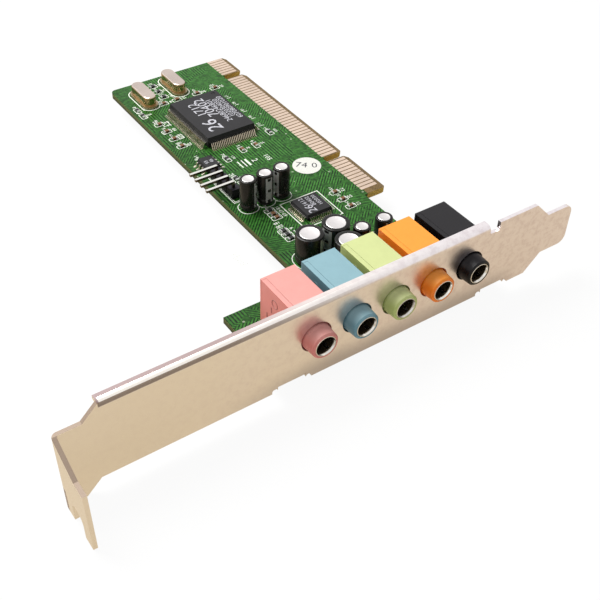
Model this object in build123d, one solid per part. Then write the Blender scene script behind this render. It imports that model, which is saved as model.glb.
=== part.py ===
from build123d import *
import os

os.makedirs("parts", exist_ok=True)

# Bracket: one folded sheet, X along its length, Y back towards the board, Z up
sheet = 0.86
bend_radius = 1.2
bend_leg = 3.0
bracket_length = 120.02
bracket_width = 18.42
tab_offset = 3.17
tab_depth = 11.43
tab_trim_run = 7.2
tab_trim_drop = 3.95
slot_width = 4.42
slot_setback = 6.35
slot_height = 0.0
low_shoulder_x = 3.9
flange_start = 8.57
flange_setback = 24.52
flange_depth = 2.2
flange_gap = 2.6
flange_gap_depth = 2.0
tongue_width = 10.19
tongue_run = 11.42
tongue_round = 2.0
foot_drop = 0.5
foot_width = 6.5
foot_depth = 9.8
foot_relief = 1.3
foot_relief_height = 0.95
left_foot_inset = 2.91
right_foot_step = 4.85
foot_hole_y = 5.7
left_hole_shift = -0.9

# Screws through the board into the bracket's feet
screw_radius = 1.25
screw_head_radius = 2.2
screw_head_height = 1.5
screw_tail = 0.9
screw_slot_width = 0.6
screw_slot_depth = 0.6
thread_clearance = 0.02
hole_clearance = 0.2

# Circuit board
board_thickness = 1.57
board_gap = 0.4
board_setback = 55.57
board_width = 29.7
board_margin = 0.1
corner_round = 1.5
wing_reach = 20.16
wing_back = 20.87
wing_margin = 0.35
tongue_reach = 6.53
tongue_start = 39.2
bevel_length = 1.3
bevel_depth = 0.42
tongue_corner = 0.8
key_width = 1.91
key_root = 0.45
contact_pitch = 1.27
contact_width = 0.98
contact_thickness = 0.05
contact_inset = 0.5
contact_first_y = 41.57
contact_count_before = 11
contact_count_between = 36
contact_count_after = 7
key_position_count = 2

board_bottom = foot_drop + sheet
board_top = board_bottom + board_thickness
board_front = sheet + board_gap
board_left = bracket_length - board_setback
wing_left = board_left - wing_reach
board_right = board_left + board_width
left_foot_x = wing_left + left_foot_inset
right_foot_x = board_right + right_foot_step
flange_end = bracket_length - flange_setback
tongue_shoulder_x = bracket_length - tongue_run
tongue_x = board_right + tongue_reach
contact_places = contact_count_before + contact_count_between + contact_count_after
contact_places += 2 * key_position_count
contact_last_y = contact_first_y + contact_pitch * (contact_places - 1)
board_far = contact_last_y + contact_width / 2 + board_margin
wing_right = right_foot_x + foot_width / 2 + wing_margin

# Five jacks in a row
jack_pitch = 9.6
jack_inset = 8.81
jack_width = 8.0
jack_back = 14.3
jack_height = 12.95
jack_gap = 0.15
barrel_shift = -0.5
barrel_height = 7.25
barrel_radius = 3.2
barrel_tip_radius = 2.95
barrel_front = 3.1
barrel_edge = 0.3
barrel_clearance = 0.3
bore_radius = 1.8
sleeve_radius = 2.35
sleeve_depth = 6.6
mouth_chamfer = 0.25
cover_thickness = 1.1
cover_seam = 0.06
cover_stop = 0.55
wall = 1.1
floor_wall = 1.0
terminal_width = 0.9
terminal_thickness = 0.3
terminal_setback = 0.45
outer_terminal_y = 4.2
outer_terminal_step = 3.7
outer_terminal_count = 3
inner_terminal_y = 6.2
inner_terminal_step = 4.0
inner_terminal_count = 2
fit_clearance = 0.02
colours = ["pink", "blue", "green", "orange", "black"]

jack_first_x = wing_left + jack_inset
jack_front = sheet + jack_gap
barrel_z = board_top + barrel_height
jack_top = board_top + jack_height

# Leads through the board
lead_radius = 0.25
lead_hole_radius = 0.4
terminal_hole_radius = 0.6
lead_tail = 1.0
joint_height = 0.7
joint_foot_radius = 0.7
joint_tip_radius = 0.5
joint_side_count = 8
lead_side_count = 8

# Main chip, codec chip and memory chip
main_across = 15.3
main_step = 17.1
main_size_x = 14.0
main_size_y = 20.0
main_count_x = 26
main_count_y = 38
codec_across = 15.75
codec_step = 14.7
codec_size = 7.0
codec_count = 12
memory_across = 4.45
memory_step = 9.5
memory_size_x = 3.9
memory_size_y = 4.9
memory_count = 4
fine_pitch = 0.5
coarse_pitch = 1.27
thick_chip = 2.7
thin_chip = 1.5
chip_standoff = 0.15
chip_draft = 0.22
dimple_radius = 0.55
dimple_depth = 0.12
dimple_inset = 1.4
long_reach = 1.6
short_reach = 1.0
lead_foot = 0.5
lead_sheet = 0.15
fine_lead_width = 0.2
coarse_lead_width = 0.42

# Crystals
crystal_across = 5.75
crystal_step = 19.6
crystal_step_x = 10.0
crystal_step_y = 2.0
crystal_length = 9.8
crystal_width = 3.5
crystal_base_length = 11.0
crystal_base_width = 4.4
crystal_base_height = 0.6
crystal_can_height = 2.5
crystal_lead_pitch = 4.88

# Electrolytic capacitors
tall_across = 3.85
tall_step = 8.4
tall_gap = 0.55
tall_count = 3
tall_radius = 2.0
tall_height = 8.2
large_across = 4.95
large_y = 26.6
large_gap = 0.6
large_radius = 3.15
large_height = 7.4
third_shift = 1.1
third_gap = 0.0
small_gap = 0.35
small_shift = 2.3
small_spread = 2.1
small_radius = 2.0
small_height = 5.6
sleeve_wall = 0.15
sleeve_lip = 0.45
sleeve_edge = 0.2
top_round = 0.35
vent_width = 0.2
vent_depth = 0.08
bung_height = 0.5
lead_pitch_small = 1.5
lead_pitch_large = 2.5

# Pin header with its pins bent out over the board's edge
header_across = 3.5
header_step = 9.7
header_width = 2.5
header_length = 10.2
header_height = 2.5
header_count = 4
header_pitch = 2.54
header_pin = 0.64
header_pin_rise = 3.9
header_pin_reach = 7.2
header_pin_shift = -0.15
header_notch = 0.5

# Chip resistors and chip capacitors
chip_length = 1.6
chip_width = 0.85
chip_thickness = 0.5
end_cap = 0.3
row_gap = 5.0
wide_step = 4.0
part_step = 3.2
close_step = 1.55
tall_side_gap = 3.4
header_side_gap = 2.6
edge_gap = 1.6

# Round sticker
sticker_across = 24.95
sticker_step = 15.2
sticker_radius = 3.55
sticker_thickness = 0.08

# Places on the board, each a step behind the one before or across from the board's left edge
codec_y = large_y + codec_step
tall_y = codec_y + tall_step
header_y = tall_y + header_step
memory_y = header_y + memory_step
main_y = memory_y + main_step
crystal_y = main_y + crystal_step
sticker_y = codec_y + sticker_step
codec_x = board_left + codec_across
tall_x = board_left + tall_across
header_x = board_left + header_across
memory_x = board_left + memory_across
main_x = board_left + main_across
crystal_x = board_left + crystal_across
sticker_x = board_left + sticker_across
large_x = board_left + large_across
large_pitch = 2 * large_radius + large_gap
third_x = large_x + large_pitch - third_shift
third_y = large_y - 2 * large_radius - third_gap
small_x = large_x + large_pitch + large_radius + small_gap + small_radius
small_y = large_y - small_shift
small_pitch = 2 * small_radius + small_spread
tall_pitch = 2 * tall_radius + tall_gap


def block(x0, x1, y0, y1, z0, z1):
    """Box between two corners."""
    return Pos((x0 + x1) / 2, (y0 + y1) / 2, (z0 + z1) / 2) * Box(x1 - x0, y1 - y0, z1 - z0)


def rod(x, y, z0, z1, radius):
    """Upright cylinder."""
    return Pos(x, y, (z0 + z1) / 2) * Cylinder(radius, z1 - z0)


def rod_y(x, z, y0, y1, radius):
    """Cylinder along Y."""
    return Pos(x, (y0 + y1) / 2, z) * Rot(X=90) * Cylinder(radius, y1 - y0)


def save(name, solids):
    """Write one node, whose solids stay separate."""
    export_step(Compound(children=list(solids)), "parts/" + name + ".step")


def lead(x, y, z0, z1, radius):
    """Lead or drilled hole with few facets."""
    return Pos(x, y, z0) * extrude(RegularPolygon(radius, lead_side_count), z1 - z0)


def along(first, step, count):
    """Evenly spaced positions."""
    return [first + step * i for i in range(count)]


def folded(outer, start, depth, leg, up):
    """L section of the sheet in Y and Z with rounded bend; the outer corner lies at Z = outer."""
    sign = 1 if up else -1
    far = outer - sign * leg
    inner = outer - sign * sheet
    points = [(0, outer), (0, far), (sheet, far), (sheet, inner), (depth, inner), (depth, outer)]
    profile = make_face(Polyline(points, close=True))
    corner = profile.vertices().sort_by_distance((0, outer))[0]
    profile = fillet(corner, bend_radius)
    root = profile.vertices().sort_by_distance((sheet, inner))[0]
    profile = fillet(root, bend_radius - sheet)
    placed = Plane(origin=(start, 0, 0), x_dir=(0, 1, 0), z_dir=(1, 0, 0)) * profile
    return placed


# Bracket face
tab_low = -tab_offset
tab_high = bracket_width - tab_offset
rise = tab_offset
tongue_low = (bracket_width - tongue_width) / 2
tongue_high = tongue_low + tongue_width
shoulder_end = tongue_shoulder_x + tongue_low
outline = [
    (bend_leg, tab_low),
    (low_shoulder_x, tab_low),
    (low_shoulder_x + rise, 0),
    (tongue_shoulder_x, 0),
    (shoulder_end, tongue_low),
    (bracket_length, tongue_low),
    (bracket_length, tongue_high),
    (shoulder_end, tongue_high),
    (tongue_shoulder_x, bracket_width),
    (flange_start, bracket_width),
    (flange_start - rise, tab_high),
    (bend_leg, tab_high),
]
face = make_face(Polyline(outline, close=True))
tips = face.vertices().sort_by(Axis.X)[-2:]
face = fillet(tips, tongue_round)
bracket = extrude(Plane.XZ * face, -sheet)

# Flange along the upper edge, with the relief gap beside the tongue
bracket -= block(flange_start, flange_end, -1, sheet + 1, bracket_width - bend_leg, bracket_width + 1)
flange = folded(bracket_width, flange_start, flange_depth, bend_leg, True)
bracket += extrude(flange, flange_end - flange_start)
gap_round = 0.5
gap_face = Rectangle(flange_gap, 2 * flange_gap_depth)
gap_face = fillet(gap_face.vertices(), gap_round)
gap_place = Pos(flange_end + flange_gap / 2, 0, bracket_width)
bracket -= gap_place * extrude(Plane.XZ * gap_face, 4 * sheet, both=True)

# Two feet folded back under the board, each between two relief notches
foot_holes = []
for foot_x, shift in ((left_foot_x, left_hole_shift), (right_foot_x, 0)):
    left = foot_x - foot_width / 2
    right = foot_x + foot_width / 2
    bracket -= block(left, right, -1, sheet + 1, -1, foot_drop + bend_leg)
    foot = folded(foot_drop, left, foot_depth, bend_leg, False)
    bracket += extrude(foot, foot_width)
    for side in (left - foot_relief / 2, right + foot_relief / 2):
        notch = Rectangle(foot_relief, 2 * foot_relief_height)
        notch = fillet(notch.vertices(), gap_round)
        bracket -= Pos(side, 0, 0) * extrude(Plane.XZ * notch, 4 * sheet, both=True)
    foot_holes.append((foot_x + shift, foot_hole_y))
for x, y in foot_holes:
    bracket -= rod(x, y, foot_drop - 1, foot_drop + sheet + 1, screw_radius + thread_clearance)

# Screw tab folded forwards at the other end
tab_front = sheet - tab_depth
tab_points = [
    (0, tab_front),
    (sheet, tab_front),
    (sheet, 0),
    (bend_leg, 0),
    (bend_leg, sheet),
    (0, sheet),
]
tab_face = make_face(Polyline(tab_points, close=True))
tab_face = fillet(tab_face.vertices().sort_by_distance((0, sheet))[0], bend_radius)
tab_face = fillet(tab_face.vertices().sort_by_distance((sheet, 0))[0], bend_radius - sheet)
tab = Pos(0, 0, tab_low) * extrude(tab_face, bracket_width)
trim_points = [
    (0, tab_high),
    (-tab_trim_run, tab_high - tab_trim_drop),
    (tab_front - 1, tab_high - tab_trim_drop),
    (tab_front - 1, tab_high + 1),
    (0, tab_high + 1),
]
yz_plane = Plane(origin=(0, 0, 0), x_dir=(0, 1, 0), z_dir=(1, 0, 0))
tab -= extrude(yz_plane * make_face(Polyline(trim_points, close=True)), 2 * sheet, both=True)
slot_y = sheet - slot_setback
slot = Pos(slot_y, slot_height) * Circle(slot_width / 2)
slot += Pos(slot_y, slot_height - bracket_width / 2) * Rectangle(slot_width, bracket_width)
tab -= extrude(yz_plane * slot, 2 * sheet, both=True)
bracket += tab

# Holes for the five barrels
jack_xs = along(jack_first_x, jack_pitch, len(colours))
for x in jack_xs:
    bracket -= rod_y(x + barrel_shift, barrel_z, -1, sheet + 1, barrel_radius + barrel_clearance)
save("bracket", [bracket])

# Where every lead goes through the board
tall_spots = [(x, tall_y) for x in along(tall_x, tall_pitch, tall_count)]
large_spots = [(large_x, large_y), (large_x + large_pitch, large_y), (third_x, third_y)]
small_spots = [(small_x, small_y), (small_x + small_pitch, small_y)]
crystal_spots = [(crystal_x, crystal_y), (crystal_x + crystal_step_x, crystal_y + crystal_step_y)]
header_ys = along(header_y - header_pitch * (header_count - 1) / 2, header_pitch, header_count)
header_pin_x = header_x + header_pin_shift
round_leads = []
for spots, pitch in (
    (tall_spots, lead_pitch_small),
    (large_spots, lead_pitch_large),
    (small_spots, lead_pitch_small),
):
    for x, y in spots:
        round_leads += [(x - pitch / 2, y), (x + pitch / 2, y)]
crystal_leads = []
for x, y in crystal_spots:
    crystal_leads += [(x, y - crystal_lead_pitch / 2), (x, y + crystal_lead_pitch / 2)]
side_x = jack_width / 2 - wall - terminal_setback
terminal_spots = []
for x in jack_xs:
    ys = along(outer_terminal_y, outer_terminal_step, outer_terminal_count)
    terminal_spots += [(x + side_x, y) for y in ys]
    ys = along(inner_terminal_y, inner_terminal_step, inner_terminal_count)
    terminal_spots += [(x - side_x + cover_thickness, y) for y in ys]

# Board with its wing, its edge tongue, two keys and every drilled hole
board = block(board_left, board_right, board_front, board_far, board_bottom, board_top)
board += block(wing_left, wing_right, board_front, wing_back, board_bottom, board_top)
edges = board.edges().filter_by(Axis.Z)
board = fillet(edges.sort_by_distance((board_left, board_far, board_top))[0], corner_round)
first_key = contact_first_y + contact_pitch * (contact_count_before + key_position_count / 2 - 0.5)
second_key = first_key + contact_pitch * (contact_count_between + key_position_count)
key_ys = [first_key, second_key]
tongue_ends = [tongue_start] + key_ys + [board_far]
half_key = key_width / 2
for i in range(len(tongue_ends) - 1):
    start = tongue_ends[i] + (half_key if i > 0 else 0)
    end = tongue_ends[i + 1] - (half_key if i < len(key_ys) else 0)
    piece = block(board_right - 1, tongue_x, start, end, board_bottom, board_top)
    outer = piece.edges().filter_by(Axis.Z).sort_by(Axis.X)[-2:]
    piece = chamfer(outer, tongue_corner)
    board += piece
root_x = board_right + key_root
for y in key_ys:
    board += block(board_right - 1, root_x, y - key_width, y + key_width, board_bottom, board_top)
for top in (True, False):
    z = board_top if top else board_bottom
    turn = -1 if top else 1
    deep = z + turn * bevel_depth
    beyond = tongue_x + 1
    wedge = [(tongue_x - bevel_length, z), (beyond, z), (beyond, deep), (tongue_x, deep)]
    cut = extrude(Plane.XZ * make_face(Polyline(wedge, close=True)), -board_far - 1)
    board -= cut - block(0, bracket_length, -1, tongue_start - 1, -1, board_top + 1)
holes = [lead(x, y, -1, board_top + 1, lead_hole_radius) for x, y in round_leads + crystal_leads]
holes += [lead(header_pin_x, y, -1, board_top + 1, terminal_hole_radius) for y in header_ys]
holes += [lead(x, y, -1, board_top + 1, terminal_hole_radius) for x, y in terminal_spots]
holes += [rod(x, y, -1, board_top + 1, screw_radius + hole_clearance) for x, y in foot_holes]
board -= holes
save("circuit_board", [board])

# Gold contacts on both faces of the tongue
contact_ys = along(contact_first_y, contact_pitch, contact_count_before)
middle_first = contact_first_y + contact_pitch * (contact_count_before + key_position_count)
contact_ys += along(middle_first, contact_pitch, contact_count_between)
last_first = middle_first + contact_pitch * (contact_count_between + key_position_count)
contact_ys += along(last_first, contact_pitch, contact_count_after)
contact_x0 = board_right + contact_inset
contact_x1 = tongue_x - bevel_length - fit_clearance
for name, z in (
    ("contacts_component_side", board_top),
    ("contacts_solder_side", board_bottom - contact_thickness),
):
    pads = []
    for y in contact_ys:
        low = y - contact_width / 2
        pads.append(block(contact_x0, contact_x1, low, low + contact_width, z, z + contact_thickness))
    save(name, pads)

# Bracket screws
screws = []
for x, y in foot_holes:
    screw = rod(x, y, foot_drop - screw_tail, board_top, screw_radius)
    head = rod(x, y, board_top, board_top + screw_head_height, screw_head_radius)
    head = chamfer(head.faces().sort_by(Axis.Z)[-1].edges(), screw_head_height / 3)
    for angle in (0, 90):
        cross = Box(1.3 * screw_head_radius, screw_slot_width, 2 * screw_slot_depth)
        head -= Pos(x, y, board_top + screw_head_height) * Rot(Z=angle) * cross
    screws.append(screw + head)
save("bracket_screws", screws)

# Jacks: moulded housing with its barrel, side cover, metal sleeve and terminals
sleeves = []
terminals = []
joint_spots = []
for colour, x in zip(colours, jack_xs):
    left = x - jack_width / 2
    right = x + jack_width / 2
    bore_x = x + barrel_shift
    housing = block(left, right, jack_front, jack_back, board_top, jack_top)
    barrel_length = barrel_front + jack_front
    barrel = Cone(barrel_radius, barrel_tip_radius, barrel_length)
    barrel = Pos(bore_x, jack_front - barrel_length / 2, barrel_z) * Rot(X=90) * barrel
    barrel = chamfer(barrel.faces().sort_by(Axis.Y)[0].edges(), barrel_edge)
    housing += barrel
    cover_back = jack_back - cover_stop
    housing -= block(left - 1, left + cover_thickness, jack_front, cover_back, board_top - 1, jack_top + 1)
    cavity_front = jack_front + wall
    cavity_back = cover_back - wall
    inside = block(left, right - wall, cavity_front, cavity_back, board_top + floor_wall, jack_top - wall)
    housing -= inside
    housing -= rod_y(bore_x, barrel_z, -barrel_front - 1, cavity_front + 1, sleeve_radius + fit_clearance)
    side = block(left, left + cover_thickness - cover_seam, jack_front, cover_back - cover_seam,
                 board_top, jack_top)
    sleeve_back = sleeve_depth - barrel_front
    pocket = sleeve_radius + fit_clearance
    side -= rod_y(bore_x, barrel_z, 0, sleeve_back + fit_clearance, pocket)
    sleeve = rod_y(bore_x, barrel_z, -barrel_front, sleeve_back, sleeve_radius)
    sleeve -= rod_y(bore_x, barrel_z, -barrel_front - 1, sleeve_back + 1, bore_radius)
    mouth = sleeve.faces().sort_by(Axis.Y)[0].edges().sort_by(SortBy.LENGTH)[0]
    sleeve = chamfer(mouth, mouth_chamfer)
    sleeves.append(sleeve)
    spots = [spot for spot in terminal_spots if left < spot[0] < right]
    for tx, ty in spots:
        inner = tx < x
        reach = barrel_z - bore_radius - wall if inner else barrel_z + bore_radius
        half_x = terminal_thickness / 2
        half_y = terminal_width / 2
        blade = block(tx - half_x, tx + half_x, ty - half_y, ty + half_y, board_bottom - lead_tail, reach)
        terminals.append(blade)
        housing -= block(
            tx - half_x - fit_clearance, tx + half_x + fit_clearance, ty - half_y - fit_clearance,
            ty + half_y + fit_clearance, board_top - 1, board_top + floor_wall + fit_clearance)
        joint_spots.append((tx, ty, terminal_thickness, terminal_width))
    save("jack_housing_" + colour, [housing])
    save("jack_cover_" + colour, [side])
save("jack_sleeves", sleeves)
save("jack_terminals", terminals)


def gull_lead(x, y, angle, width, drop, reach):
    """Bent lead from a chip's side down to the board; it points along +X before turning by angle."""
    slope = reach - lead_foot
    knee = slope / 2
    points = [
        (0, drop + lead_sheet),
        (knee + lead_sheet / 2, drop + lead_sheet),
        (slope + lead_sheet / 2, lead_sheet),
        (reach, lead_sheet),
        (reach, 0),
        (slope - lead_sheet / 2, 0),
        (knee - lead_sheet / 2, drop),
        (0, drop),
    ]
    profile = Plane.XZ * make_face(Polyline(points, close=True))
    return Pos(x, y, board_top) * Rot(Z=angle) * extrude(profile, width / 2, both=True)


def chip(name, x, y, size_x, size_y, height, count_x, count_y, pitch, width, reach):
    """Moulded body with drafted sides and its rows of leads."""
    half = height / 2
    middle = board_top + chip_standoff + half
    body = None
    small = Rectangle(size_x - 2 * chip_draft, size_y - 2 * chip_draft)
    for turn in (1, -1):
        lower = Plane(origin=(x, y, middle)) * Rectangle(size_x, size_y)
        upper = Plane(origin=(x, y, middle + turn * half)) * small
        part = loft([lower, upper])
        body = part if body is None else body + part
    top = middle + half
    inset = dimple_inset * min(size_x, size_y) / main_size_x
    dimple_x = x + size_x / 2 - chip_draft - inset
    dimple_y = y + size_y / 2 - chip_draft - inset
    body -= rod(dimple_x, dimple_y, top - dimple_depth, top + 1, dimple_radius * inset / dimple_inset)
    save(name + "_body", [body])
    drop = chip_standoff + half - lead_sheet / 2
    leads = []
    for i in range(count_y):
        ly = y + pitch * (i - (count_y - 1) / 2)
        leads.append(gull_lead(x + size_x / 2, ly, 0, width, drop, reach))
        leads.append(gull_lead(x - size_x / 2, ly, 180, width, drop, reach))
    for i in range(count_x):
        lx = x + pitch * (i - (count_x - 1) / 2)
        leads.append(gull_lead(lx, y + size_y / 2, 90, width, drop, reach))
        leads.append(gull_lead(lx, y - size_y / 2, -90, width, drop, reach))
    save(name + "_leads", leads)


chip("main_chip", main_x, main_y, main_size_x, main_size_y, thick_chip, main_count_x, main_count_y,
     fine_pitch, fine_lead_width, long_reach)
chip("codec_chip", codec_x, codec_y, codec_size, codec_size, thin_chip, codec_count, codec_count,
     fine_pitch, fine_lead_width, short_reach)
chip("memory_chip", memory_x, memory_y, memory_size_x, memory_size_y, thin_chip, 0, memory_count,
     coarse_pitch, coarse_lead_width, short_reach)

# Crystals: flat base, oval can and two leads each
cans = []
bases = []
for x, y in crystal_spots:
    base = Pos(x, y, board_top) * extrude(
        SlotOverall(crystal_base_length, crystal_base_width, rotation=90), crystal_base_height)
    can = Pos(x, y, board_top + crystal_base_height) * extrude(
        SlotOverall(crystal_length, crystal_width, rotation=90), crystal_can_height)
    can = fillet(can.faces().sort_by(Axis.Z)[-1].edges(), top_round)
    bases.append(base)
    cans.append(can)
save("crystal_bases", bases)
save("crystal_cans", cans)
tail_z = board_bottom - lead_tail
save("crystal_leads", [lead(x, y, tail_z, board_top, lead_radius) for x, y in crystal_leads])

# Electrolytic capacitors: shrink sleeve over a can, rubber bung below, two leads
bungs = []
for name, spots, radius, height in (
    ("tall", tall_spots, tall_radius, tall_height),
    ("large", large_spots, large_radius, large_height),
    ("small", small_spots, small_radius, small_height),
):
    skins = []
    inner_cans = []
    base_z = board_top + bung_height
    top_z = board_top + height
    for x, y in spots:
        skin = rod(x, y, base_z, top_z, radius)
        skin = chamfer(skin.faces().sort_by(Axis.Z)[-1].edges(), sleeve_edge)
        skin -= rod(x, y, base_z - 1, top_z - sleeve_wall, radius - sleeve_wall)
        skin -= rod(x, y, base_z, top_z + 1, radius - sleeve_wall - sleeve_lip)
        skins.append(skin)
        can_radius = radius - sleeve_wall - fit_clearance
        can_top = top_z - sleeve_wall
        can = rod(x, y, base_z, can_top, can_radius)
        for angle in (0, 60, 120):
            score = Box(2 * (radius - sleeve_wall - sleeve_lip), vent_width, 2 * vent_depth)
            can -= Pos(x, y, can_top) * Rot(Z=angle) * score
        inner_cans.append(can)
        bungs.append(rod(x, y, board_top, base_z, radius - sleeve_lip))
    save(name + "_capacitor_sleeves", skins)
    save(name + "_capacitor_cans", inner_cans)
save("capacitor_bungs", bungs)
save("capacitor_leads", [lead(x, y, tail_z, board_top, lead_radius) for x, y in round_leads])

# Pin header
header = block(
    header_x - header_width / 2, header_x + header_width / 2, header_y - header_length / 2,
    header_y + header_length / 2, board_top, board_top + header_height)
pins = []
half_pin = header_pin / 2
pin_z = board_top + header_pin_rise
for y in header_ys:
    header -= block(
        header_pin_x - half_pin - fit_clearance, header_pin_x + half_pin + fit_clearance,
        y - half_pin - fit_clearance, y + half_pin + fit_clearance, 0, pin_z)
    pin = block(
        header_pin_x - half_pin, header_pin_x + half_pin, y - half_pin, y + half_pin,
        board_bottom - lead_tail, pin_z + half_pin)
    pin += block(
        header_pin_x - header_pin_reach, header_pin_x, y - half_pin, y + half_pin,
        pin_z - half_pin, pin_z + half_pin)
    corner = pin.edges().filter_by(Axis.Y).sort_by_distance(
        (header_pin_x + half_pin, y, pin_z + half_pin))[0]
    pins.append(fillet(corner, half_pin))
    joint_spots.append((header_pin_x, y, header_pin, header_pin))
notch_ys = along(header_ys[0] + header_pitch / 2, header_pitch, header_count - 1)
for y in notch_ys:
    for side in (-1, 1):
        notch = Rot(Z=45) * Box(header_notch, header_notch, 4 * header_height)
        header -= Pos(header_x + side * header_width / 2, y, board_top) * notch
save("header_block", [header])
save("header_pins", pins)

# Small chip parts in short rows beside the larger ones
beside_main = main_x - main_size_x / 2 - row_gap
above_main = main_y + main_size_y / 2 + row_gap
below_main = main_y - main_size_y / 2 - row_gap
beside_codec = codec_x + codec_size / 2 + row_gap
beside_tall = tall_x + tall_side_gap
behind_large = large_y + large_radius + row_gap
beside_header = header_x + header_width / 2 + header_side_gap
main_left = main_x - main_size_x / 2
main_right = main_x + main_size_x / 2
capacitor_spots = [(beside_main, y, 0) for y in along(main_y - 1.4 * wide_step, wide_step, 4)]
capacitor_spots += [(x, above_main, 0) for x in along(main_left + chip_width, wide_step, 2)]
capacitor_spots += [(x, above_main, 0) for x in along(main_x + wide_step, 1.4 * wide_step, 2)]
capacitor_spots += [(x, below_main, 90) for x in along(main_x, wide_step, 2)]
capacitor_spots += [(beside_codec, y, 0) for y in along(codec_y - 1.25 * part_step, part_step, 3)]
capacitor_spots += [(beside_tall, y, 0) for y in along(tall_y - 4.4 * close_step, close_step, 2)]
resistor_spots = [(crystal_x + row_gap, y, 0) for y in along(crystal_y - part_step / 2, part_step, 3)]
resistor_spots += [(main_left + edge_gap, below_main - edge_gap, 90)]
resistor_spots += [(main_right + part_step, below_main + part_step, 90)]
resistor_spots += [(beside_tall, tall_y - 2.4 * close_step, 0)]
resistor_spots += [(large_x + part_step / 4, y, 0) for y in along(behind_large, close_step, 3)]
resistor_spots += [(beside_header, header_y + edge_gap, 90)]
resistor_spots += [(board_left + edge_gap, y, 90) for y in along(crystal_y - 2.3 * part_step, part_step, 2)]
end_caps = []
for name, spots in (("chip_capacitors", capacitor_spots), ("chip_resistors", resistor_spots)):
    bodies = []
    for x, y, angle in spots:
        place = Pos(x, y, board_top + chip_thickness / 2) * Rot(Z=angle)
        bodies.append(place * Box(chip_length - 2 * end_cap, chip_width, chip_thickness))
        for side in (-1, 1):
            end = Pos(side * (chip_length - end_cap) / 2, 0, 0) * Box(end_cap, chip_width, chip_thickness)
            end_caps.append(place * end)
    save(name, bodies)
save("chip_end_caps", end_caps)

# Round sticker
sticker_top = board_top + sticker_thickness
save("inspection_sticker", [rod(sticker_x, sticker_y, board_top, sticker_top, sticker_radius)])

# Solder joints under the board
joints = []
low = board_bottom - joint_height


def cone(x, y):
    """Faceted solder cone that flares where it meets the board."""
    wide = Plane(origin=(x, y, board_bottom)) * RegularPolygon(joint_foot_radius, joint_side_count)
    narrow = Plane(origin=(x, y, low)) * RegularPolygon(joint_tip_radius, joint_side_count)
    return loft([wide, narrow])


for x, y in round_leads + crystal_leads:
    joints.append(cone(x, y) - lead(x, y, low - 1, board_bottom + 1, lead_radius + fit_clearance))
for x, y, size_x, size_y in joint_spots:
    pocket = block(
        x - size_x / 2 - fit_clearance, x + size_x / 2 + fit_clearance,
        y - size_y / 2 - fit_clearance, y + size_y / 2 + fit_clearance, low - 1, board_bottom + 1)
    joints.append(cone(x, y) - pocket)
save("solder_joints", joints)
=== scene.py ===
import logging
import math
import random
from collections.abc import Sequence
from dataclasses import dataclass, field
from enum import Enum
from typing import Protocol

import bpy
from mathutils import Matrix, Vector


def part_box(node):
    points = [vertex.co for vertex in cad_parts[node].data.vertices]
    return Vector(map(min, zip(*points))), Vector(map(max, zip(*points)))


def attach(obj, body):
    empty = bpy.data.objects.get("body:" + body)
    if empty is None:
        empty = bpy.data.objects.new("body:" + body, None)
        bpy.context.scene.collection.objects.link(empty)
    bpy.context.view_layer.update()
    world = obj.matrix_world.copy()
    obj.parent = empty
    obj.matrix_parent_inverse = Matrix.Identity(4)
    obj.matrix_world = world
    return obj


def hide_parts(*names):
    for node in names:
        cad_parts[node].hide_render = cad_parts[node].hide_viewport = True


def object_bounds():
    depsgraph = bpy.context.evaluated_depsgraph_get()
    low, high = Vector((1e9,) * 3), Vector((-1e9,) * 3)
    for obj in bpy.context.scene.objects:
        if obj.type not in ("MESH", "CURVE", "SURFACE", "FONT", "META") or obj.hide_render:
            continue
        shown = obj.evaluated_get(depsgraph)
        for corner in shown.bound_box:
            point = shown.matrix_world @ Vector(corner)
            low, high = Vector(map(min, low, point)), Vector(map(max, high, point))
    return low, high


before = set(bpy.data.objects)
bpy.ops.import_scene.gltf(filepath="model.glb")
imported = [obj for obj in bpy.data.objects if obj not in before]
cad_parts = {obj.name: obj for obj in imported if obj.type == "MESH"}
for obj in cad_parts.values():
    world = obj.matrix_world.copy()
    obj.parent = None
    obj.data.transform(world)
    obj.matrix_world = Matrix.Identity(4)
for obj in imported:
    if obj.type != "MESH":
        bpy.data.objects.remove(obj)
CAD_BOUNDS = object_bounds()
LOG = logging.getLogger("sound_card")
BODY = "root"
MM = 0.001
SMOOTH_ANGLE = math.radians(35)
FONT_SIZE = 1.45  # the font's size for figures one unit high
MIX_LOW, MIX_HIGH, MIX_RESULT = 6, 7, 2  # the Mix node's colour sockets
CAPACITORS = ("tall", "large", "small")
Colour = tuple[float, float, float]
Triple = tuple[float, float, float]
Span = tuple[float, float]
Point = Sequence[float]
Piece = bpy.types.Object
Material = bpy.types.Material
Socket = bpy.types.NodeSocket


# Shader maths


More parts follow.
